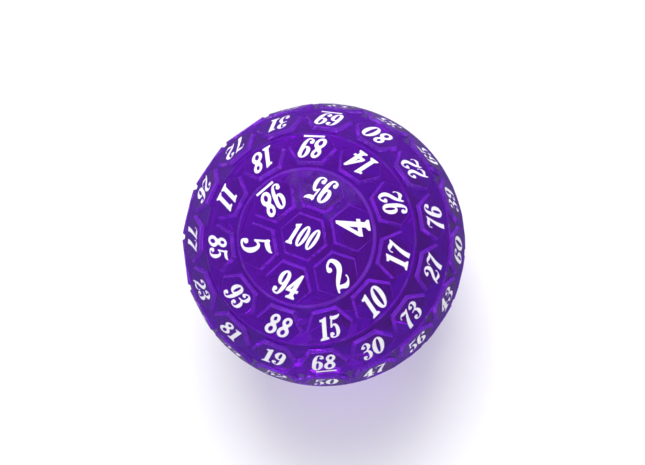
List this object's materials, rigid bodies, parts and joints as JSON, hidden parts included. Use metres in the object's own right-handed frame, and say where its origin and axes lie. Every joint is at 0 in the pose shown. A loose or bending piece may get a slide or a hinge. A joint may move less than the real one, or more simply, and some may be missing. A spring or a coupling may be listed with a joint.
{
  "type": "polyhedral die",
  "caption": "Near-spherical polyhedral die of translucent purple acrylic, with rings of raised flat hexagonal facets and white painted numerals.",
  "frame": {"origin": "centre of the die", "axes": "+Z leaves through the centre of the facet numbered 100; +X passes over the first facet of ring 1, numbered 95; -Z leaves through the opposite facet, numbered 1, on which the die rests"},
  "size_m": [0.045, 0.045, 0.0444],
  "materials": {
    "purple_acrylic": "glossy translucent moulded acrylic, tinted deep purple",
    "white_paint": "satin white paint wiped into engraved numerals"
  },
  "bodies": {
    "root": {"upper_half": "purple_acrylic", "lower_half": "purple_acrylic", "upper_pole_numbers": "white_paint", "upper_ring_1_numbers": "white_paint", "upper_ring_2_numbers": "white_paint", "upper_ring_3_numbers": "white_paint", "upper_ring_4_numbers": "white_paint", "lower_pole_numbers": "white_paint", "lower_ring_1_numbers": "white_paint", "lower_ring_2_numbers": "white_paint", "lower_ring_3_numbers": "white_paint", "lower_ring_4_numbers": "white_paint"}
  },
  "joints": []
}
